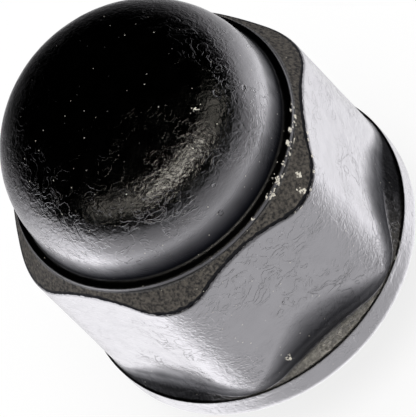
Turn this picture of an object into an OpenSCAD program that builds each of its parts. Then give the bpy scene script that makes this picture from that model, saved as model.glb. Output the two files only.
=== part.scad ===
// Closed-end lug nut: one forged piece with a rounded hexagon, a domed cap, a narrow flange
// and a conical seat. It stands on the ring round its thread, with its axis along +Z.

/* [Hexagon] */
// Width across the flats
across_flats = 21; // [18:0.5:24]
// Radius of the rounded corners between the flats
corner_r = 4.8; // [2:0.1:6]
// Height from the flange edge to the top of the hexagon
hex_h = 13.45; // [10:0.05:18]
// Distance from a flat in to the circle where the top chamfer ends
chamfer_inset = 0.45; // [0.1:0.05:0.8]
// Slope of the top chamfer above the horizontal, in degrees
chamfer_angle = 52; // [40:1:65]
// Height of the upright lip between the chamfer and the top ring
lip_h = 0.35; // [0.3:0.05:0.8]
// Rounding of the upper edge of the lip
rim_r = 0.2; // [0.1:0.05:0.25]

/* [Dome] */
// Width of the ring between the lip and the wall of the dome
ring_w = 0.55; // [0.55:0.05:2]
// Fillet where the wall of the dome meets the ring
dome_foot_r = 0.3; // [0.1:0.05:0.3]
// Lean of the wall of the dome towards the axis, in degrees
dome_draft = 6; // [1:1:12]
// Height of that wall above the ring
dome_wall_h = 2.2; // [0.8:0.1:4]
// Radius of the shoulder of the dome
shoulder_r = 6.7; // [4:0.1:8]
// Radius of the shallow crown on top of the dome
crown_r = 22; // [12:1:60]

/* [Flange] */
// How far the flange edge stands out past the corners of the hexagon
flange_lip = 0.21; // [0.1:0.01:2]
// Height of the side of the flange, from its underside to its upper edge
band_h = 2.75; // [2.2:0.05:5]
// Slope of the top of the flange, in degrees
flange_angle = 54; // [30:1:56]
// Width of the level land along the edge of the flange
flange_land = 0.12; // [0.1:0.02:0.3]
// Rounding of the outer edge of that land
flange_edge_r = 0.08; // [0.02:0.02:0.1]
// Rounding of the lower part of the flange's side
flange_under_r = 1.4; // [0.4:0.1:1.8]
// Radius of the hollow that the foot of each flat sweeps out in
cove_r = 4.5; // [3:0.1:8]
// How far that hollow leans out past the flat, where it meets the top of the flange
cove_lean = 0.42; // [0.15:0.01:0.45]

/* [Seat] */
// Included angle of the conical seat, in degrees
seat_angle = 60; // [50:1:90]
// Width of the flat step under the flange, outside the seat
seat_step = 0.4; // [0.3:0.05:1.5]
// Fillet between the seat and the step
seat_foot_r = 0.4; // [0.1:0.1:0.5]
// Width of the ring that the nut stands on
base_ring_w = 1.3; // [0.6:0.05:2]
// Rounding of the outer edge of that ring
base_edge_r = 0.3; // [0.1:0.05:0.4]

/* [Thread] */
// Nominal diameter of the thread
thread_d = 12; // [10:0.5:14]
// Pitch of the thread
thread_pitch = 1.5; // [1:0.25:2]
// How far the mouth chamfer opens past the thread, on the radius
mouth_relief = 0.35; // [0.1:0.05:0.8]
// Included angle of the drill point at the blind end, in degrees
drill_angle = 118; // [90:1:140]
// Metal left between the drill point and the top of the dome
end_wall = 3.2; // [2:0.1:6]

/* [Hidden] */
$fn = 96;
// Surfaces that are cut away run this far past what they cut
overrun = 1;
// The hollow at the foot runs this far into the top of the flange
overlap = 0.1;
// The arc of a rounding crosses its edges by this much, so that it always meets them
hair = 0.001;
// The hollow at the foot starts this far inside the flats, so that it meets them at an angle
core_inset = 0.03;
// A basic thread profile is cut this share of a pitch deep on the radius
thread_depth_share = 0.5413;

flat_r = across_flats / 2;
corner_centre_r = (flat_r - corner_r) / cos(30);
corner_reach_r = corner_centre_r + corner_r;
flange_r = corner_reach_r + flange_lip;
rim_circle_r = flat_r - chamfer_inset;
dome_r = rim_circle_r - ring_w;
core_r = flat_r - core_inset;
bore_r = thread_d / 2 - thread_depth_share * thread_pitch;
mouth_r = thread_d / 2 + mouth_relief;
base_r = mouth_r + base_ring_w;
seat_r = flange_r - flange_under_r - seat_step;

underside_z = (seat_r - base_r) / tan(seat_angle / 2);
edge_z = underside_z + band_h;
hex_top_z = edge_z + hex_h;

// The shoulder arc starts tangent to the wall of the dome and ends tangent to the crown arc
wall_top = [dome_r - dome_wall_h * tan(dome_draft), hex_top_z + dome_wall_h];
shoulder_centre = wall_top - shoulder_r * [cos(dome_draft), sin(dome_draft)];
crown_gap = crown_r - shoulder_r;
crown_centre = [0, shoulder_centre[1] - sqrt(crown_gap * crown_gap - pow(shoulder_centre[0], 2))];
crown_start = crown_centre + crown_r / crown_gap * (shoulder_centre - crown_centre);
top_z = crown_centre[1] + crown_r;

drill_point_h = bore_r / tan(drill_angle / 2);
bore_end_z = top_z - end_wall - drill_point_h;

function polar(angle, r) = r * [cos(angle), sin(angle)];

// The sliver between a corner and an arc of radius r that is tangent to both of its edges.
// The edges leave the corner at the angles first and second. Taken away it rounds an outer
// corner, and added it fills an inner one, so it also runs on behind the corner.
module corner_sliver(corner, first, second, r) {
    half = (second - first) / 2;
    middle = first + half;
    centre = corner + polar(middle, r / sin(half) - hair);
    difference() {
        polygon([
            corner - polar(middle, overrun),
            corner + polar(first, r / tan(half)),
            centre,
            corner + polar(second, r / tan(half))
        ]);
        translate(centre) circle(r = r);
    }
}

// Half section of the seat, the flange and the hollow where the flats rise from it
module flange_section() {
    seat_slope = 90 - seat_angle / 2;
    lean = core_inset + cove_lean;
    land_r = flange_r - flange_land;
    cone_top_z = edge_z + (land_r - core_r) * tan(flange_angle);
    foot = [core_r + lean, cone_top_z - lean * tan(flange_angle)];
    cove_h = sqrt(lean * (2 * cove_r - lean));
    cove_centre = [core_r + cove_r, foot[1] + cove_h];
    difference() {
        polygon([
            [0, 0],
            [base_r, 0],
            [seat_r, underside_z],
            [flange_r, underside_z],
            [flange_r, edge_z],
            [land_r, edge_z],
            [core_r, cone_top_z],
            [0, cone_top_z]
        ]);
        corner_sliver([base_r, 0], seat_slope, 180, base_edge_r);
        corner_sliver([flange_r, underside_z], 90, 180, flange_under_r);
        corner_sliver([flange_r, edge_z], 180, 270, flange_edge_r);
    }
    corner_sliver([seat_r, underside_z], seat_slope - 180, 0, seat_foot_r);
    difference() {
        translate([0, edge_z]) square([foot[0] + overlap, cove_centre[1] - edge_z]);
        translate(cove_centre) circle(r = cove_r);
    }
}

// Half section of the space that the hexagon is trimmed to, with the chamfer and the lip
module hexagon_trim() {
    outer_r = corner_reach_r + overrun;
    chamfer_top_z = hex_top_z - lip_h;
    difference() {
        polygon([
            [0, edge_z],
            [outer_r, edge_z],
            [outer_r, chamfer_top_z - (outer_r - rim_circle_r) * tan(chamfer_angle)],
            [rim_circle_r, chamfer_top_z],
            [rim_circle_r, hex_top_z],
            [0, hex_top_z]
        ]);
        corner_sliver([rim_circle_r, hex_top_z], 180, 270, rim_r);
    }
}

// Half section of the dome, from inside the hexagon to the crown
module dome_section() {
    polygon([
        [0, hex_top_z - overrun],
        [dome_r, hex_top_z - overrun],
        [dome_r, hex_top_z],
        wall_top,
        crown_start,
        [0, crown_start[1]]
    ]);
    translate(shoulder_centre)
        intersection() {
            circle(r = shoulder_r);
            square(shoulder_r);
        }
    intersection() {
        translate(crown_centre) circle(r = crown_r);
        translate([0, crown_start[1]]) square([crown_start[0], crown_r]);
    }
    corner_sliver([dome_r, hex_top_z], 0, 90 + dome_draft, dome_foot_r);
}

// The hexagon with a true arc at each corner
module rounded_hexagon() {
    polygon([
        for (side = [0:5], turn = [-30, 30])
            polar(60 * side, corner_centre_r) + polar(60 * side + turn, corner_r)
    ]);
    for (side = [0:5])
        translate(polar(60 * side, corner_centre_r)) circle(r = corner_r);
}

// Smooth blind bore at the crest of the thread, with the drill point and the mouth chamfer
module thread_bore() {
    translate([0, 0, -overrun]) cylinder(r = bore_r, h = bore_end_z + overrun);
    translate([0, 0, bore_end_z]) cylinder(r1 = bore_r, r2 = 0, h = drill_point_h);
    translate([0, 0, -overrun])
        cylinder(r1 = mouth_r + overrun, r2 = bore_r, h = mouth_r - bore_r + overrun);
}

module lug_nut() {
    color([0.07, 0.07, 0.075])
    difference() {
        union() {
            rotate_extrude() flange_section();
            intersection() {
                translate([0, 0, edge_z]) linear_extrude(hex_h) rounded_hexagon();
                rotate_extrude() hexagon_trim();
            }
            rotate_extrude() dome_section();
        }
        thread_bore();
    }
}

lug_nut();
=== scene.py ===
"""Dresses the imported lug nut: one closed mesh with its thread, a black coating and a plain white table."""
import math

import bpy
import numpy as np
from mathutils import Matrix, Vector, noise


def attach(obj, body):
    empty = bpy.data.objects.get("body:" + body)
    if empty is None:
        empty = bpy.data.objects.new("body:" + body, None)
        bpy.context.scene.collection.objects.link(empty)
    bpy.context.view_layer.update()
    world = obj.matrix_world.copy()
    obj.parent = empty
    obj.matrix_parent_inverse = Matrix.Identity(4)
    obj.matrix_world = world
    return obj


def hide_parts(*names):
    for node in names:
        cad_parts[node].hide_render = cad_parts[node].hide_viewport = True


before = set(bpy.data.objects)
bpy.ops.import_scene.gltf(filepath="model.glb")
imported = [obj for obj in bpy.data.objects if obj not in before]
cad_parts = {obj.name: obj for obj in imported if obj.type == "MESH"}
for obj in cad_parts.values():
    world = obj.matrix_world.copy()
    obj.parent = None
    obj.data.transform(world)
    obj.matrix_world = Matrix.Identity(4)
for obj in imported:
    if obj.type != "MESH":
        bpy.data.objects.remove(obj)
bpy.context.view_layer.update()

# Sizes of the nut, in millimetres
MM = 0.001
ACROSS_FLATS = 21.0
CORNER_R = 4.8
HEX_H = 13.45
CHAMFER_INSET = 0.45
CHAMFER_ANGLE = math.radians(52)
CHAMFER_EDGE_R = 0.5
LIP_H = 0.35
LIP_FOOT_R = 0.06
RIM_R = 0.2
RING_W = 0.55
DOME_FOOT_R = 0.3
DOME_DRAFT = math.radians(6)
DOME_WALL_H = 2.2
SHOULDER_R = 6.7
CROWN_R = 22.0
FLANGE_LIP = 0.21
BAND_H = 2.75
FLANGE_ANGLE = math.radians(54)
FLANGE_LAND = 0.12
FLANGE_EDGE_R = 0.08
FLANGE_UNDER_R = 1.4
COVE_R = 4.5
COVE_LEAN = 0.42
SEAT_ANGLE = math.radians(60)
SEAT_STEP = 0.4
SEAT_FOOT_R = 0.4
BASE_RING_W = 1.3
BASE_EDGE_R = 0.3
THREAD_D = 12.0
THREAD_PITCH = 1.5
THREAD_RUN_OUT = 1.5
MOUTH_RELIEF = 0.35
DRILL_ANGLE = math.radians(118)
END_WALL = 3.2

# Basic thread profile, in shares of the pitch: its depth on the radius, the end of a flank and its width
THREAD_DEPTH_SHARE = 0.5413
FLANK_END_SHARE = 0.375
FLANK_SHARE = 0.3125

# Direction of the flat whose foot was forged shallower, the share of its hollow that is left there, and the
# cosines of the angles from it at which this starts and is complete
SHALLOW_TURN = math.radians(-30)
SHALLOW_SHARE = 0.3
SHALLOW_FADE = (0.866, 0.96)

# Half of the angle that a flat takes up
HALF_SIDE = math.radians(30)

# Radii and heights that follow from the sizes
FLAT_R = ACROSS_FLATS / 2
CORNER_CENTRE_R = (FLAT_R - CORNER_R) / math.cos(HALF_SIDE)
FLANGE_R = CORNER_CENTRE_R + CORNER_R + FLANGE_LIP
RIM_CIRCLE_R = FLAT_R - CHAMFER_INSET
DOME_R = RIM_CIRCLE_R - RING_W
THREAD_DEPTH = THREAD_DEPTH_SHARE * THREAD_PITCH
BORE_R = THREAD_D / 2 - THREAD_DEPTH
MOUTH_R = THREAD_D / 2 + MOUTH_RELIEF
BASE_R = MOUTH_R + BASE_RING_W
SEAT_R = FLANGE_R - FLANGE_UNDER_R - SEAT_STEP
UNDERSIDE_Z = (SEAT_R - BASE_R) / math.tan(SEAT_ANGLE / 2)
EDGE_Z = UNDERSIDE_Z + BAND_H
HEX_TOP_Z = EDGE_Z + HEX_H
CHAMFER_TOP_Z = HEX_TOP_Z - LIP_H
DOME_WALL_TOP = np.array([DOME_R - DOME_WALL_H * math.tan(DOME_DRAFT), HEX_TOP_Z + DOME_WALL_H])
SHOULDER_C = DOME_WALL_TOP - SHOULDER_R * np.array([math.cos(DOME_DRAFT), math.sin(DOME_DRAFT)])
CROWN_C = np.array([0.0, SHOULDER_C[1] - math.sqrt((CROWN_R - SHOULDER_R) ** 2 - SHOULDER_C[0] ** 2)])
CROWN_TILT = math.atan2(SHOULDER_C[0], SHOULDER_C[1] - CROWN_C[1])
TOP_Z = CROWN_C[1] + CROWN_R
DRILL_TIP_Z = TOP_Z - END_WALL
BORE_END_Z = DRILL_TIP_Z - BORE_R / math.tan(DRILL_ANGLE / 2)

# How finely the nut is meshed
COLUMNS = 360
BORE_COLUMNS = COLUMNS // 2
THREAD_ROWS_PER_PITCH = 10
COVE_STEPS = 12
SHOULDER_STEPS = 42
CROWN_STEPS = 14


def ramp(value, low, high):
    """Smooth share of the way from low to high."""
    share = min(max((value - low) / (high - low), 0), 1)
    return share * share * (3 - 2 * share)


def angle_off_flat(turn):
    """Angle to the middle of the nearest flat, at most 30 degrees."""
    return abs(turn % (2 * HALF_SIDE) - HALF_SIDE)


def hexagon_radius(turn):
    """Distance from the axis to the rounded hexagon, at an angle from a corner."""
    off_flat = angle_off_flat(turn)
    half_flat = (FLAT_R - CORNER_R) * math.tan(HALF_SIDE)
    if FLAT_R * math.tan(off_flat) <= half_flat:
        return FLAT_R / math.cos(off_flat)
    off_corner = HALF_SIDE - off_flat
    across = CORNER_CENTRE_R * math.sin(off_corner)
    return CORNER_CENTRE_R * math.cos(off_corner) + math.sqrt(CORNER_R ** 2 - across ** 2)


def chamfer_foot_z(wall):
    """Height at which the chamfer meets the hexagon, at a distance of the hexagon from the axis."""
    return CHAMFER_TOP_Z - (wall - RIM_CIRCLE_R) * math.tan(CHAMFER_ANGLE)


def cove_points(turn, steps):
    """The hollow at the foot of the hexagon at one angle, from its crease on the flange up to the wall."""
    wall = hexagon_radius(turn)
    shallow = ramp(math.cos(turn - SHALLOW_TURN), *SHALLOW_FADE)
    lean = COVE_LEAN * (FLANGE_R - wall) / (FLANGE_R - FLAT_R) * (1 - (1 - SHALLOW_SHARE) * shallow)
    crease_z = EDGE_Z + (FLANGE_R - FLANGE_LAND - wall - lean) * math.tan(FLANGE_ANGLE)
    sweep = math.acos(1 - lean / COVE_R)
    centre = np.array([wall + COVE_R, crease_z + COVE_R * math.sin(sweep)])
    turns = np.linspace(sweep, 0, steps + 1)
    return [centre - COVE_R * np.array([math.cos(t), math.sin(t)]) for t in turns]


def rounded_corner(before, corner, after, radius, steps):
    """Points along the arc of a radius that rounds a corner of a section."""
    to_before = (before - corner) / np.linalg.norm(before - corner)
    to_after = (after - corner) / np.linalg.norm(after - corner)
    half = math.acos(np.clip(to_before @ to_after, -1, 1)) / 2
    middle = (to_before + to_after) / np.linalg.norm(to_before + to_after)
    centre = corner + middle * radius / math.sin(half)
    start = corner + to_before * radius / math.tan(half) - centre
    end = corner + to_after * radius / math.tan(half) - centre
    sweep = math.atan2(start[0] * end[1] - start[1] * end[0], start @ end)
    first = math.atan2(start[1], start[0])
    turns = first + sweep * np.linspace(0, 1, steps + 1)
    return [centre + radius * np.array([math.cos(t), math.sin(t)]) for t in turns]


def rounded_line(rows):
    """Points along a line of corners.

    Each row gives a corner, its rounding, the steps round it and the steps on to the next corner.
    """
    corners = [np.array(row[0], float) for row in rows]
    runs = []
    for index, (_, radius, steps, _) in enumerate(rows):
        if radius:
            before, corner, after = corners[index - 1:index + 2]
            runs.append(rounded_corner(before, corner, after, radius, steps))
        else:
            runs.append([corners[index]])
    points = []
    for run, following, (_, _, _, steps) in zip(runs, runs[1:], rows):
        gap = following[0] - run[-1]
        points += run
        points += [run[-1] + gap * step / steps for step in range(1, steps)]
    return points + runs[-1]


def outer_section(turn):
    """Half section of the outside at one angle, from the mouth of the thread up to the pole."""
    wall = hexagon_radius(turn)
    cove = cove_points(turn, COVE_STEPS)
    points = rounded_line([
        ((MOUTH_R, 0), 0, 0, 3),
        ((BASE_R, 0), BASE_EDGE_R, 4, 6),
        ((SEAT_R, UNDERSIDE_Z), SEAT_FOOT_R, 4, 2),
        ((FLANGE_R, UNDERSIDE_Z), FLANGE_UNDER_R, 14, 6),
        ((FLANGE_R, EDGE_Z), FLANGE_EDGE_R, 6, 2),
        ((FLANGE_R - FLANGE_LAND, EDGE_Z), 0, 0, 5),
        (cove[0], 0, 0, 0),
    ])
    points += cove[1:-1]
    points += rounded_line([
        (cove[-1], 0, 0, 42),
        ((wall, chamfer_foot_z(wall)), CHAMFER_EDGE_R, 6, 8),
        ((RIM_CIRCLE_R, CHAMFER_TOP_Z), LIP_FOOT_R, 3, 2),
        ((RIM_CIRCLE_R, HEX_TOP_Z), RIM_R, 6, 2),
        ((DOME_R, HEX_TOP_Z), DOME_FOOT_R, 7, 6),
        (DOME_WALL_TOP, 0, 0, 0),
    ])
    for t in np.linspace(DOME_DRAFT, math.pi / 2 - CROWN_TILT, SHOULDER_STEPS + 1)[1:]:
        points.append(SHOULDER_C + SHOULDER_R * np.array([math.cos(t), math.sin(t)]))
    for t in np.linspace(CROWN_TILT, 0, CROWN_STEPS + 1)[1:-1]:
        points.append(CROWN_C + CROWN_R * np.array([math.sin(t), math.cos(t)]))
    return points


def bore_section(turn):
    """Half section of the threaded bore at one angle, from the mouth up to the drill point."""
    points = []
    rows = int(BORE_END_Z / THREAD_PITCH * THREAD_ROWS_PER_PITCH)
    for row in range(1, rows + 1):
        z = BORE_END_Z * row / rows
        phase = (z / THREAD_PITCH - turn / math.tau) % 1.0
        from_root = min(phase, 1 - phase)
        depth = np.clip((FLANK_END_SHARE - from_root) / FLANK_SHARE, 0, 1)
        run_out = np.clip((BORE_END_Z - THREAD_RUN_OUT - z) / THREAD_RUN_OUT, 0, 1)
        thread_r = BORE_R + THREAD_DEPTH * depth * run_out
        points.append(np.array([max(thread_r, MOUTH_R - z), z]))
    return points


def ring_stack(sections, pole_z):
    """Vertices and faces of a stack of rings, one column per section, closed by a pole."""
    count = len(sections[0])
    columns = len(sections)
    vertices = []
    for row in range(count):
        for column, section in enumerate(sections):
            turn = math.tau * column / columns
            r, z = section[row]
            vertices.append((r * math.cos(turn), r * math.sin(turn), z))
    faces = []
    for row in range(count - 1):
        for column in range(columns):
            right = (column + 1) % columns
            faces.append((row * columns + column, row * columns + right,
                          (row + 1) * columns + right, (row + 1) * columns + column))
    pole = len(vertices)
    vertices.append((0, 0, pole_z))
    for column in range(columns):
        right = (column + 1) % columns
        faces.append(((count - 1) * columns + column, (count - 1) * columns + right, pole))
    return vertices, faces


def make_nut():
    """The whole nut as one closed mesh: the outside, and the threaded bore joined on at the mouth."""
    outer_turns = [math.tau * column / COLUMNS for column in range(COLUMNS)]
    bore_turns = [math.tau * column / BORE_COLUMNS for column in range(BORE_COLUMNS)]
    vertices, faces = ring_stack([outer_section(turn) for turn in outer_turns], TOP_Z)
    inside, inside_faces = ring_stack([bore_section(turn) for turn in bore_turns], DRILL_TIP_Z)
    shift = len(vertices)
    faces += [tuple(v + shift for v in reversed(face)) for face in inside_faces]
    vertices += inside
    for column in range(BORE_COLUMNS):
        near, far = shift + column, shift + (column + 1) % BORE_COLUMNS
        first, middle, last = 2 * column, 2 * column + 1, (2 * column + 2) % COLUMNS
        faces += [(middle, first, near), (middle, near, far), (last, middle, far)]
    mesh = bpy.data.meshes.new("coated_nut")
    mesh.from_pydata([Vector(v) * MM for v in vertices], [], faces)
    mesh.validate()
    mesh.polygons.foreach_set("use_smooth", [True] * len(mesh.polygons))
    mark_surface(mesh)
    roughen(mesh)
    nut = bpy.data.objects.new("coated_nut", mesh)
    bpy.context.scene.collection.objects.link(nut)
    return nut


# Room round the bore, and where the parts of the outside end, in millimetres from the edges between them
BORE_ROOM = 0.5
BAND_TOP_H = 0.5
EDGE_HAIR = 0.01
LIP_FOOT_H = 0.03
CHAMFER_BRINK_H = 0.1
CREASE_H = 0.02

# Painted light and shade, as the share of the coating's sheen that shows: little in painted shade, 1 in the
# open.
# Painted shade round the dome: its height, its least, the power by which it clears, and a painted highlight
# line at its foot
DOME_SHADE_H = 2.3
DOME_SHADE_LEAST = 0.01
DOME_SHADE_POWER = 2.3
DOME_PAINTED_HIGHLIGHT = 0.5
DOME_HIGHLIGHT_FADE = (0.14, 0.24)

# Painted shade in the hollow of a flat: its height and how much lower it is on the left, its least and how
# that changes to the sides, to the right and to the corners, and how far it tapers to its ends
FLAT_SHADE_H = 3.4
FLAT_SHADE_LEFT = 1.0
FLAT_SHADE_LEAST = 0.2
LEAST_TO_SIDES = -0.1
LEAST_TO_RIGHT = -0.05
LEAST_TO_CORNERS = 0.3
SHADE_TAPER = 0.85

# How far towards the front the painted shade of a side flat is darkest, from the middle of the flat, and the
# powers by which the painted shade ends in front of that and behind it
SHADE_SHIFT = math.radians(6)
SHADE_FRONT_POWER = 2
SHADE_BACK_POWER = 1.2

# Painted reflections along the hollow of a flat: lines, each with its height and how much lighter it is, and
# half their width
PAINTED_REFLECTION_LINES = [(0.4, 0.5), (0.75, -0.35)]
REFLECTION_LINE_H = 0.2

# Top of the flange, in painted shade apart from a painted highlight at the front: the direction of that lit
# stretch, the cosines of the angles at which it starts and is complete, the least and most of the painted
# light, and how matt it is
FLANGE_HIGHLIGHT_TURN = math.radians(-84.3)
FLANGE_HIGHLIGHT_FADE = (0.547, 0.836)
FLANGE_PAINTED_LIGHT = (0.15, 2.0)
FLANGE_MATT = 0.4

# The lip is the same all round
LIP_CLEAR = 0.5

# Wear of the edges, the distances over which it fades, the direction in which they are chipped most, the
# cosines of the angles at which that starts and is complete, and the share of wear that is left elsewhere
CHAMFER_WEAR = 0.6
LIP_WEAR = 0.9
FLANGE_WEAR = 0.3
WEAR_FADE = (0.05, 0.3)
CHIPPED_TURN = math.radians(-50)
CHIPPED_FADE = (0.88, 0.98)
CHIPPED_LEAST = 0.1

# Middle of the brink of the chamfer, inwards and up from the sharp corner, and its reach
BRINK_INSET = 0.12
BRINK_RISE = 0.16
BRINK_REACH = 0.4

# Pitting: the upward tilts between which it sets in, and its shares at the corners and on matt parts
PITTED_TILT = (0.3, 0.6)
PITTED_CORNERS = 1.8
PITTED_MATT = 0.2


def in_bore(r, z):
    """Whether a point belongs to the bore or its mouth."""
    return r < THREAD_D / 2 + BORE_ROOM and z < DRILL_TIP_Z + BORE_ROOM


def surface_zone(r, z, chamfer_z, crease_z):
    """Name of the part of the outside that a point lies on. What is low or in the bore is hidden."""
    if z <= EDGE_Z - BAND_TOP_H or in_bore(r, z):
        return "hidden"
    if z > HEX_TOP_Z - EDGE_HAIR:
        return "dome"
    if z >= CHAMFER_TOP_Z - LIP_FOOT_H:
        return "lip"
    if z > chamfer_z + CHAMFER_BRINK_H:
        return "chamfer"
    if z > crease_z:
        return "flat"
    if z > EDGE_Z - EDGE_HAIR:
        return "flange_top"
    return "band"


def corner_share(turn):
    """Share of the way from the middle of a flat to a corner, squared."""
    return (angle_off_flat(turn) / HALF_SIDE) ** 2


def shade_end(turn):
    """Share of the way along a flat from the darkest part of its painted shade to the end of that at a
    corner.
    """
    past_middle = turn % (2 * HALF_SIDE) - HALF_SIDE
    in_front_or_behind = abs(math.cos(turn - past_middle)) < math.sin(HALF_SIDE)
    if in_front_or_behind:
        return corner_share(turn)
    forward = past_middle if math.cos(turn) < 0 else -past_middle
    if forward > SHADE_SHIFT:
        return ((forward - SHADE_SHIFT) / (HALF_SIDE - SHADE_SHIFT)) ** SHADE_FRONT_POWER
    return ((SHADE_SHIFT - forward) / (HALF_SIDE + SHADE_SHIFT)) ** SHADE_BACK_POWER


def dome_painted_light(height):
    """Painted light at a height above the ring round the dome: painted shade that clears upwards, and a
    painted highlight line at its foot.
    """
    share = min(max(height, 0) / DOME_SHADE_H, 1) ** DOME_SHADE_POWER
    highlight_line = DOME_PAINTED_HIGHLIGHT * (1 - ramp(height, *DOME_HIGHLIGHT_FADE))
    return DOME_SHADE_LEAST + (1 - DOME_SHADE_LEAST) * share + highlight_line


def flat_painted_light(turn, height):
    """Painted light on a flat, at a height above the crease at its foot: painted shade in its hollow, and
    painted reflection lines along it.
    """
    side = math.cos(turn)
    corner = corner_share(turn)
    least = FLAT_SHADE_LEAST + LEAST_TO_SIDES * abs(side) + LEAST_TO_RIGHT * side
    least += LEAST_TO_CORNERS * corner ** 2
    reach = (FLAT_SHADE_H + FLAT_SHADE_LEFT * min(side, 0)) * (1 - SHADE_TAPER * shade_end(turn))
    painted_light = least + (1 - least) * min(height / reach, 1) ** 2
    painted_lines = 0
    for level, lighter in PAINTED_REFLECTION_LINES:
        painted_lines += lighter * max(1 - ((height - level) / REFLECTION_LINE_H) ** 2, 0)
    return painted_light * (1 + painted_lines * (1 - corner))


def flange_painted_light(turn):
    """Painted light on the top of the flange: painted shade all round, apart from a painted highlight at the
    front.
    """
    least, most = FLANGE_PAINTED_LIGHT
    return least + (most - least) * ramp(math.cos(turn - FLANGE_HIGHLIGHT_TURN), *FLANGE_HIGHLIGHT_FADE)


def edge_wear(r, z, turn, wall, chamfer_z):
    """How worn a point is: most along the lip, on the side where the nut is chipped."""
    edges = (
        (wall, chamfer_z, CHAMFER_WEAR),
        (RIM_CIRCLE_R, CHAMFER_TOP_Z, LIP_WEAR),
        (RIM_CIRCLE_R, HEX_TOP_Z, LIP_WEAR),
        (FLANGE_R, EDGE_Z, FLANGE_WEAR),
    )
    worn = 0
    for edge_r, edge_z, wear in edges:
        worn = max(worn, wear * (1 - ramp(math.hypot(r - edge_r, z - edge_z), *WEAR_FADE)))
    chipped = ramp(math.cos(turn - CHIPPED_TURN), *CHIPPED_FADE)
    return worn * (CHIPPED_LEAST + (1 - CHIPPED_LEAST) * chipped)


def pitting(turn, tilt, below_chamfer, matt):
    """How pitted a point is: where it faces up and towards the corners, and less where it is matt."""
    corners = PITTED_CORNERS * corner_share(turn) ** 2 if below_chamfer else 0
    return max(ramp(tilt, *PITTED_TILT), corners) * (PITTED_MATT if matt else 1)


def coating_marks(place, normal):
    """What the coating needs to know of a point: its painted light and shade, how near a worn edge or the
    brink of the chamfer, and how matt, dusty and pitted."""
    r, z = place.xy.length, place.z
    turn = math.atan2(place.y, place.x)
    wall = hexagon_radius(turn)
    chamfer_z = chamfer_foot_z(wall)
    crease_z = cove_points(turn, 1)[0][1] + CREASE_H
    zone = surface_zone(r, z, chamfer_z, crease_z)
    # Painted light and shade: painted shade round the dome, at the foot of the flats and on the flange's top,
    # with painted highlights
    painted_light, matt = 1, 0
    if zone == "dome":
        painted_light = dome_painted_light(z - HEX_TOP_Z)
    elif zone == "lip":
        painted_light = LIP_CLEAR
    elif zone == "chamfer":
        matt = 1
    elif zone == "flat":
        painted_light = flat_painted_light(turn, z - crease_z)
    elif zone == "flange_top":
        painted_light, matt = flange_painted_light(turn), FLANGE_MATT
    off_brink = math.hypot(r - wall + BRINK_INSET, z - chamfer_z - BRINK_RISE)
    return {
        "painted_light": painted_light,
        "edge": edge_wear(r, z, turn, wall, chamfer_z),
        "brink": 1 - min(off_brink / BRINK_REACH, 1),
        "matt": matt,
        "dusty": 1 if zone == "chamfer" else 0,
        "pitted": 0 if zone == "hidden" else pitting(turn, normal.z, z < chamfer_z, matt),
    }


def mark_surface(mesh):
    """Stores the marks that the coating needs at each point of the mesh."""
    points = zip(mesh.vertices, mesh.vertex_normals)
    marks = [coating_marks(vertex.co / MM, normal.vector) for vertex, normal in points]
    for name in marks[0]:
        layer = mesh.attributes.new(name, "FLOAT", "POINT")
        layer.data.foreach_set("value", [mark[name] for mark in marks])


# Uneven skin: waves per millimetre and heights of its swell and its peel, and the height in which it sets in
SWELL_WAVES = 0.32
SWELL_H = 0.02
PEEL_WAVES = 1.1
PEEL_H = 0.006
PEEL_SHIFT = Vector((7, 3, 5))
SKIN_FADE_H = 1.0


def roughen(mesh):
    """Gives the outside above the seat the uneven skin of a coated forging."""
    normals = [Vector(corner.vector) for corner in mesh.vertex_normals]
    for vertex, normal in zip(mesh.vertices, normals):
        place = vertex.co / MM
        if in_bore(place.xy.length, place.z):
            continue
        share = min(max((place.z - UNDERSIDE_Z) / SKIN_FADE_H, 0), 1)
        swell = noise.noise(place * SWELL_WAVES) * SWELL_H
        peel = noise.noise(place * PEEL_WAVES + PEEL_SHIFT) * PEEL_H
        vertex.co += normal * (swell + peel) * share * MM


# Sockets of a Mix node that take the share and the two colours, and the one that gives the result
MIX_INPUTS = (0, 6, 7)
MIX_RESULT = 2


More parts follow.
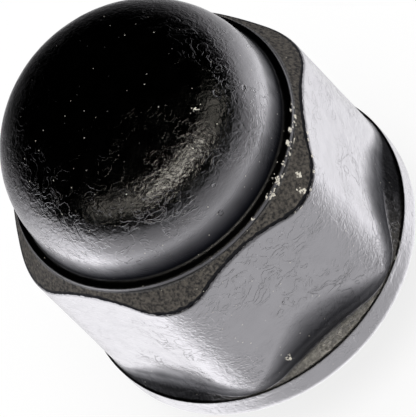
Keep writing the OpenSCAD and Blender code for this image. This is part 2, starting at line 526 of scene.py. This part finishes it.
class Graph:
    """Short calls for building a node tree."""

    def __init__(self, tree, coordinates=None):
        self.nodes = tree.nodes
        self.links = tree.links
        if coordinates:
            self.place = self.add("TexCoord").outputs[coordinates]

    def add(self, kind, **settings):
        """New shader node of a kind, with its settings."""
        node = self.nodes.new("ShaderNode" + kind)
        for name, value in settings.items():
            setattr(node, name, value)
        return node

    def wire(self, source, node, socket):
        """Links an output to a socket, or sets the socket to a plain value."""
        if isinstance(source, bpy.types.NodeSocket):
            self.links.new(source, node.inputs[socket])
        else:
            node.inputs[socket].default_value = source

    def math(self, operation, first, second=0.0):
        """Result of an operation on one or two values."""
        node = self.add("Math", operation=operation)
        self.wire(first, node, 0)
        self.wire(second, node, 1)
        return node.outputs["Value"]

    def between(self, value, levels, results):
        """Smooth step from the first result to the second as a value passes between two levels."""
        node = self.add("MapRange", interpolation_type="SMOOTHSTEP")
        self.wire(value, node, "Value")
        for socket, number in zip(("From Min", "From Max", "To Min", "To Max"), levels + results):
            self.wire(number, node, socket)
        return node.outputs["Result"]

    def noise(self, scale, detail, distortion):
        """Noise at the place on the object."""
        node = self.add("TexNoise")
        self.wire(self.place, node, "Vector")
        self.wire(scale, node, "Scale")
        self.wire(detail, node, "Detail")
        self.wire(distortion, node, "Distortion")
        return node.outputs["Fac"]

    def stored(self, name):
        """Mark that the mesh stores under a name."""
        return self.add("Attribute", attribute_name=name).outputs["Fac"]

    def mix(self, share, first, second):
        """Colour that is the first at a share of 0 and the second at 1, and runs on past them."""
        node = self.add("Mix", data_type="RGBA", clamp_factor=False)
        for socket, source in zip(MIX_INPUTS, (share, first, second)):
            self.wire(source, node, socket)
        return node.outputs[MIX_RESULT]

    def mix_shader(self, share, first, second):
        """Shader that is the first at a share of 0 and the second at 1."""
        node = self.add("MixShader")
        for socket, source in enumerate((share, first, second)):
            self.wire(source, node, socket)
        return node.outputs["Shader"]


# Colours of the coating: in the open, in painted shade, where it is dusty and where it is chipped
COAT_COLOUR = (0.24, 0.238, 0.245, 1)
SHADE_COLOUR = (0.003, 0.004, 0.008, 1)
DUST_COLOUR = (0.075, 0.068, 0.061, 1)
CHIP_COLOUR = (0.75, 0.71, 0.62, 1)

# Noises of the coating: waves per metre, detail and distortion
SPOT_NOISE = (5200, 2, 0)
CHIP_NOISE = (3000, 3, 0)
WEAR_NOISE = (420, 2, 0)
MOTTLE_NOISE = (5200, 4, 0)
BRINK_NOISE = (2600, 3, 0)
ROUGH_NOISE = (900, 3, 0)
PEEL_NOISE = (1900, 4, 0.8)
PEEL_PATCH_NOISE = (170, 2, 0)
GRAIN_NOISE = (2300, 2, 1.2)
WRINKLE_NOISE = (750, 3, 1.6)
WRINKLE_PATCH_NOISE = (240, 2, 0)

# Level in the middle of a noise
NOISE_MIDDLE = 0.5

# Specks: cells per metre, the distances at which a speck ends, and how strong they are from cell to cell
SPECK_SCALE = 1650
SPECK_EDGE = (0.035, 0.085)
SPECK_CELLS = (0.2, 0.8)
SPECK_STRENGTH = (0.1, 0.8)

# Levels of noise and wear between which the coating chips
CHIP_LEVELS = (0.54, 0.61)
WEAR_LEVELS = (0.9, 1.1)

# Mottle of matt parts, and the dark line along the brink of the chamfer
MOTTLE_LEVELS = (0.25, 0.75)
MOTTLE = 0.9
BRINK_RAGGED = 0.8
BRINK_LEVELS = (1.06, 1.17)
BRINK_CLEAR = 0.04

# Share of the metal's gloss that dust hides
DUST_COVER = 0.85

# Roughness all over, and what is added on matt parts and in the hollows, by the level of the painted shade
# there
ROUGH_LEVELS = (0.3, 0.7)
ROUGHNESS = (0.15, 0.25)
MATT_ROUGHNESS = 0.4
HOLLOW_ROUGHNESS = 0.25
HOLLOW_LEVELS = (0.1, 1)

# Fine relief, with heights in metres
PEEL_PATCH_LEVELS = (0.42, 0.6)
PEEL_HEIGHTS = (0.00001, 0.00005)
GRAIN_HEIGHT = 0.000034
WRINKLE_PATCH_LEVELS = (0.42, 0.58)
WRINKLE_HEIGHT = 0.000011
WRINKLE_WIDTH = 0.03

# Larger marks, each with its place and radius in millimetres: pale chips, and pits with a raised rim
CHIPS = [
    ((4.01, -5.63, 26.54), 0.16),
    ((-2.6, -10.5, 7.76), 0.2),
    ((4.81, -8.82, 19.7), 0.24),
    ((3.86, -9.28, 19.6), 0.16),
    ((1.99, -9.85, 19.86), 0.14),
    ((6.85, -7.35, 19.91), 0.2),
    ((5.82, -8.19, 19.91), 0.16),
    ((5.92, -8.85, 18.79), 0.2),
    ((5.42, -9.63, 18.28), 0.24),
]
PITS = [
    ((7.15, -5.01, 24.13), 0.24),
    ((0.73, -9.29, 21.66), 0.2),
    ((5.68, -5.2, 25.76), 0.3),
    ((1.63, -8.79, 23.59), 0.16),
    ((7.5, -5.06, 23.26), 0.12),
    ((-0.4, -10.5, 12.26), 0.14),
    ((-2.22, -7.49, 25.63), 0.16),
]

# Shares of the radius of a mark: its full core, how ragged chips and pits are, and a pit's rim and depth
SPOT_CORE = 0.5
CHIP_RAGGED = 5.0
PIT_RAGGED = 1.5
PIT_RIM = 1.5
PIT_RIM_H = 0.05
PIT_DEPTH = 0.2


def ragged_edge(graph, ragged):
    """Noise that shifts the edge of a round mark, in shares of its radius."""
    return graph.math("MULTIPLY", graph.math("SUBTRACT", graph.noise(*SPOT_NOISE), NOISE_MIDDLE), ragged)


def spot(graph, centre, radius, wobble):
    """Round mark with a ragged edge, at a place in millimetres: 1 inside and 0 outside."""
    away = graph.add("VectorMath", operation="DISTANCE")
    graph.wire(graph.place, away, 0)
    graph.wire(Vector(centre) * MM, away, 1)
    distance = graph.math("ADD", away.outputs["Value"], graph.math("MULTIPLY", wobble, radius * MM))
    return graph.between(distance, (SPOT_CORE * radius * MM, radius * MM), (1, 0))


def pale_marks(graph):
    """Where the coating is pale: specks all over, chips along the worn edges and the larger chips."""
    cells = graph.add("TexVoronoi")
    graph.wire(graph.place, cells, "Vector")
    graph.wire(SPECK_SCALE, cells, "Scale")
    speck = graph.between(cells.outputs["Distance"], SPECK_EDGE, (1, 0))
    speck = graph.math("MULTIPLY", speck, graph.between(cells.outputs["Color"], SPECK_CELLS, SPECK_STRENGTH))
    worn = graph.math("ADD", graph.stored("edge"), graph.noise(*WEAR_NOISE))
    chip = graph.between(graph.noise(*CHIP_NOISE), CHIP_LEVELS, (0, 1))
    chip = graph.math("MULTIPLY", chip, graph.between(worn, WEAR_LEVELS, (0, 1)))
    pale = graph.math("MAXIMUM", speck, chip)
    wobble = ragged_edge(graph, CHIP_RAGGED)
    for centre, radius in CHIPS:
        pale = graph.math("MAXIMUM", pale, spot(graph, centre, radius, wobble))
    return pale


def coating_colour(graph, pale):
    """Colour of the coating: painted shade in the hollows and painted highlights, a dark line along the brink
    of the chamfer, and dusty above it.
    """
    mottle = graph.between(graph.noise(*MOTTLE_NOISE), MOTTLE_LEVELS, (-MOTTLE, MOTTLE))
    mottle = graph.math("ADD", 1.0, graph.math("MULTIPLY", graph.stored("matt"), mottle))
    brink = graph.math("MULTIPLY", graph.noise(*BRINK_NOISE), BRINK_RAGGED)
    brink = graph.math("ADD", graph.stored("brink"), brink)
    # Painted light and shade: the coat runs from the painted shade colour where this share is 0 to past its
    # own colour above 1
    painted_light = graph.math("MULTIPLY", graph.stored("painted_light"), mottle)
    painted_light = graph.math("MULTIPLY", painted_light, graph.between(brink, BRINK_LEVELS, (1, BRINK_CLEAR)))
    tint = graph.mix(graph.stored("dusty"), COAT_COLOUR, DUST_COLOUR)
    coat = graph.mix(painted_light, SHADE_COLOUR, tint)
    return graph.mix(pale, coat, CHIP_COLOUR)


def coating_metal(graph, pale):
    """How far the coating mirrors as a dark metal does: fully, but not where it is dusty or pale."""
    bare = graph.math("SUBTRACT", 1.0, graph.math("MULTIPLY", graph.stored("dusty"), DUST_COVER))
    return graph.math("MULTIPLY", bare, graph.math("SUBTRACT", 1.0, pale))


def coating_roughness(graph):
    """Roughness of the coating: patchy all over, and more on matt parts and in the hollows."""
    patchy = graph.between(graph.noise(*ROUGH_NOISE), ROUGH_LEVELS, ROUGHNESS)
    matt = graph.math("MULTIPLY", graph.stored("matt"), MATT_ROUGHNESS)
    hollow = graph.between(graph.stored("painted_light"), HOLLOW_LEVELS, (HOLLOW_ROUGHNESS, 0))
    return graph.math("ADD", patchy, graph.math("MAXIMUM", matt, hollow))


def coating_relief(graph):
    """Height of the fine relief: orange peel in patches, grain where pitted, wrinkles and larger pits."""
    patch = graph.between(graph.noise(*PEEL_PATCH_NOISE), PEEL_PATCH_LEVELS, PEEL_HEIGHTS)
    peel = graph.math("MULTIPLY", graph.noise(*PEEL_NOISE), patch)
    grain = graph.math("MULTIPLY", graph.stored("pitted"), GRAIN_HEIGHT)
    grain = graph.math("MULTIPLY", graph.noise(*GRAIN_NOISE), grain)
    vein = graph.math("ABSOLUTE", graph.math("SUBTRACT", graph.noise(*WRINKLE_NOISE), NOISE_MIDDLE))
    vein = graph.between(vein, (0, WRINKLE_WIDTH), (1, 0))
    patch = graph.between(graph.noise(*WRINKLE_PATCH_NOISE), WRINKLE_PATCH_LEVELS, (0, WRINKLE_HEIGHT))
    wrinkle = graph.math("MULTIPLY", vein, patch)
    height = graph.math("ADD", graph.math("ADD", peel, grain), wrinkle)
    wobble = ragged_edge(graph, PIT_RAGGED)
    for centre, radius in PITS:
        rim = spot(graph, centre, PIT_RIM * radius, wobble)
        hole = spot(graph, centre, radius, wobble)
        height = graph.math("ADD", height, graph.math("MULTIPLY", rim, PIT_RIM_H * radius * MM))
        height = graph.math("SUBTRACT", height, graph.math("MULTIPLY", hole, PIT_DEPTH * radius * MM))
    return height


def black_coating():
    """Satin black coating over forged steel, with painted light and shade in its colour."""
    material = bpy.data.materials.new("black_coating")
    material.use_nodes = True
    graph = Graph(material.node_tree, "Object")
    shader = graph.nodes["Principled BSDF"]
    pale = pale_marks(graph)
    graph.wire(coating_colour(graph, pale), shader, "Base Color")
    graph.wire(coating_metal(graph, pale), shader, "Metallic")
    graph.wire(coating_roughness(graph), shader, "Roughness")
    bump = graph.add("Bump")
    graph.wire(1.0, bump, "Distance")
    graph.wire(coating_relief(graph), bump, "Height")
    graph.wire(bump.outputs["Normal"], shader, "Normal")
    return material


# Table, in metres, its colour, and the share of plain white in what the camera sees of it
TABLE_SIZE = 3.0
TABLE_COLOUR = (0.94, 0.94, 0.94, 1)
TABLE_WHITE = 0.82


def white_table():
    """White table top that keeps the nut's soft shadow."""
    material = bpy.data.materials.new("white_table")
    material.use_nodes = True
    graph = Graph(material.node_tree)
    graph.nodes.remove(graph.nodes["Principled BSDF"])
    diffuse = graph.add("BsdfDiffuse")
    graph.wire(TABLE_COLOUR, diffuse, "Color")
    matt = diffuse.outputs["BSDF"]
    seen = graph.mix_shader(TABLE_WHITE, matt, graph.add("Emission").outputs["Emission"])
    by_camera = graph.add("LightPath").outputs["Is Camera Ray"]
    graph.wire(graph.mix_shader(by_camera, matt, seen), graph.nodes["Material Output"], "Surface")
    return material


def make_table():
    """Plain white table. The gloss of the nut shows the lit backdrop in its place."""
    bpy.ops.mesh.primitive_plane_add(size=TABLE_SIZE)
    table = bpy.context.object
    table.name = "table"
    table.visible_glossy = False
    table.data.materials.append(white_table())


# Camera, fitted to the photograph. The pixel is the centre of the flange's upper edge
PHOTO_SIZE = (416, 417)
FLANGE_PIXEL = (244.4, 243.7)
PIXELS_PER_FLANGE_R = 177.6
CAMERA_DISTANCE = 50 * FLANGE_R
CAMERA_ELEVATION = math.radians(50.42)
CAMERA_TURN = math.radians(2.71)
AXIS_LEAN = math.radians(44.64)
SENSOR_H = 24.0
CLIP_START = 0.01


def make_camera():
    """The photograph's camera: a long lens, rolled so that the nut's axis leans to the left."""
    pixels_per_mm = PIXELS_PER_FLANGE_R / FLANGE_R
    towards = Vector((math.sin(CAMERA_TURN), -math.cos(CAMERA_TURN), 0)) * math.cos(CAMERA_ELEVATION)
    towards.z = math.sin(CAMERA_ELEVATION)
    upright = (Vector((0, 0, 1)) - towards * towards.z).normalized()
    sideways = upright.cross(towards)
    up = upright * math.cos(AXIS_LEAN) + sideways * math.sin(AXIS_LEAN)
    right = up.cross(towards)
    off_right = (FLANGE_PIXEL[0] - PHOTO_SIZE[0] / 2) / pixels_per_mm
    off_down = (FLANGE_PIXEL[1] - PHOTO_SIZE[1] / 2) / pixels_per_mm
    place = Vector((0, 0, EDGE_Z)) + towards * CAMERA_DISTANCE - right * off_right + up * off_down
    data = bpy.data.cameras.new("camera")
    data.sensor_fit = "VERTICAL"
    data.sensor_height = SENSOR_H
    data.lens = SENSOR_H * CAMERA_DISTANCE / (PHOTO_SIZE[1] / pixels_per_mm)
    data.clip_start = CLIP_START
    camera = bpy.data.objects.new("camera", data)
    bpy.context.scene.collection.objects.link(camera)
    axes = Matrix((right, up, towards)).transposed().to_4x4()
    camera.matrix_world = Matrix.Translation(place * MM) @ axes
    bpy.context.scene.camera = camera


# Lamps, in metres and watts, all turned to one place near the top of the nut
LAMP_TARGET = Vector((0, 0, 0.025))
OVERHEAD_PLACE = (0, 0, 1.0)
OVERHEAD_SIZE = (1.2, 1.2)
OVERHEAD_POWER = 15
OVERHEAD_COLOUR = (1, 1, 1)
PANEL_COLOUR = (1.0, 0.95, 0.82)
FRONT_PANEL_PLACE = (0.04, -0.78, 0.485)
FRONT_PANEL_SIZE = (1.0, 0.12)
FRONT_PANEL_POWER = 0.9
SIDE_PANEL_PLACES = {"left_panel": (-0.64, -0.54, 0.42), "right_panel": (0.72, -0.54, 0.42)}
SIDE_PANEL_SIZE = (0.66, 0.22)
SIDE_PANEL_POWER = 0.17


def area_lamp(name, place, size, power, colour):
    """Rectangular lamp that the camera doesn't see."""
    data = bpy.data.lights.new(name, "AREA")
    data.shape = "RECTANGLE"
    data.size, data.size_y = size
    data.energy = power
    data.color = colour
    lamp = bpy.data.objects.new(name, data)
    lamp.location = place
    lamp.rotation_euler = (LAMP_TARGET - Vector(place)).to_track_quat("-Z", "Y").to_euler()
    lamp.visible_camera = False
    bpy.context.scene.collection.objects.link(lamp)
    return lamp


def make_lights():
    """Soft light from above, and a warm panel on the camera's side with a dim one to its left and right."""
    overhead = area_lamp("overhead", OVERHEAD_PLACE, OVERHEAD_SIZE, OVERHEAD_POWER, OVERHEAD_COLOUR)
    overhead.visible_glossy = False
    area_lamp("front_panel", FRONT_PANEL_PLACE, FRONT_PANEL_SIZE, FRONT_PANEL_POWER, PANEL_COLOUR)
    for name, place in SIDE_PANEL_PLACES.items():
        area_lamp(name, place, SIDE_PANEL_SIZE, SIDE_PANEL_POWER, PANEL_COLOUR)


# Backdrop in the gloss: its strength in front, 50 degrees below level, and shares of that by the height of
# a direction (straight down to level), its depth (front to back) and its side (left to right)
GLOW = 1.4
GLOW_TINT = (0.975, 0.965, 0.995, 1)
GLOW_BY_HEIGHT = [
    (-1.0, 0.75), (-0.94, 0.83), (-0.866, 0.93), (-0.77, 1.0), (-0.64, 0.8),
    (-0.5, 0.58), (-0.34, 0.39), (-0.17, 0.25), (-0.07, 0.083), (0.0, 0.0),
]
GLOW_BY_DEPTH = [
    (-0.3, 1.0), (0.08, 2.08), (0.3, 1.67), (0.5, 1.25),
    (0.64, 0.73), (0.766, 0.4), (0.866, 0.17), (0.986, 0.056),
]
GLOW_BY_SIDE = [(-0.95, 1.9), (-0.6, 1.1), (-0.4, 1.0)]

# Colours of the world for the camera, and for all that is neither the camera nor gloss
BACKGROUND_COLOUR = (1, 1, 1, 1)
FILL_COLOUR = (0.02, 0.02, 0.02, 1)


def glow_levels(graph, value, stops, strength=1.0):
    """Strength of the backdrop by one coordinate of a direction, on a straight line from stop to stop."""
    along = graph.add("MapRange")
    graph.wire(value, along, "Value")
    graph.wire(-1, along, "From Min")
    graph.wire(1, along, "From Max")
    node = graph.add("ValToRGB")
    graph.wire(along.outputs["Result"], node, "Fac")
    elements = node.color_ramp.elements
    while len(elements) < len(stops):
        elements.new(0.5)
    for element, (level, share) in zip(elements, stops):
        element.position = (level + 1) / 2
        element.color = (strength * share,) * 3 + (1,)
    return node.outputs["Color"]


def make_world():
    """White for the camera, and for the gloss a backdrop, bright below and dark above and at the back."""
    world = bpy.data.worlds.new("world")
    bpy.context.scene.world = world
    world.use_nodes = True
    graph = Graph(world.node_tree, "Generated")
    direction = graph.add("SeparateXYZ")
    graph.wire(graph.place, direction, 0)
    strength = glow_levels(graph, direction.outputs["Z"], GLOW_BY_HEIGHT, GLOW)
    for axis, stops in (("Y", GLOW_BY_DEPTH), ("X", GLOW_BY_SIDE)):
        strength = graph.math("MULTIPLY", strength, glow_levels(graph, direction.outputs[axis], stops))
    glow = graph.add("Background")
    graph.wire(GLOW_TINT, glow, "Color")
    graph.wire(strength, glow, "Strength")
    fill = graph.nodes["Background"]
    graph.wire(FILL_COLOUR, fill, "Color")
    white = graph.add("Background")
    graph.wire(BACKGROUND_COLOUR, white, "Color")
    path = graph.add("LightPath")
    by_gloss = path.outputs["Is Glossy Ray"]
    light = graph.mix_shader(by_gloss, fill.outputs["Background"], glow.outputs["Background"])
    by_camera = path.outputs["Is Camera Ray"]
    seen = graph.mix_shader(by_camera, light, white.outputs["Background"])
    graph.wire(seen, graph.nodes["World Output"], "Surface")


nut = make_nut()
nut.data.materials.append(black_coating())
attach(nut, "root")
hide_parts("lug_nut")
make_table()
make_camera()
make_lights()
make_world()
bpy.context.scene.view_settings.view_transform = "Standard"
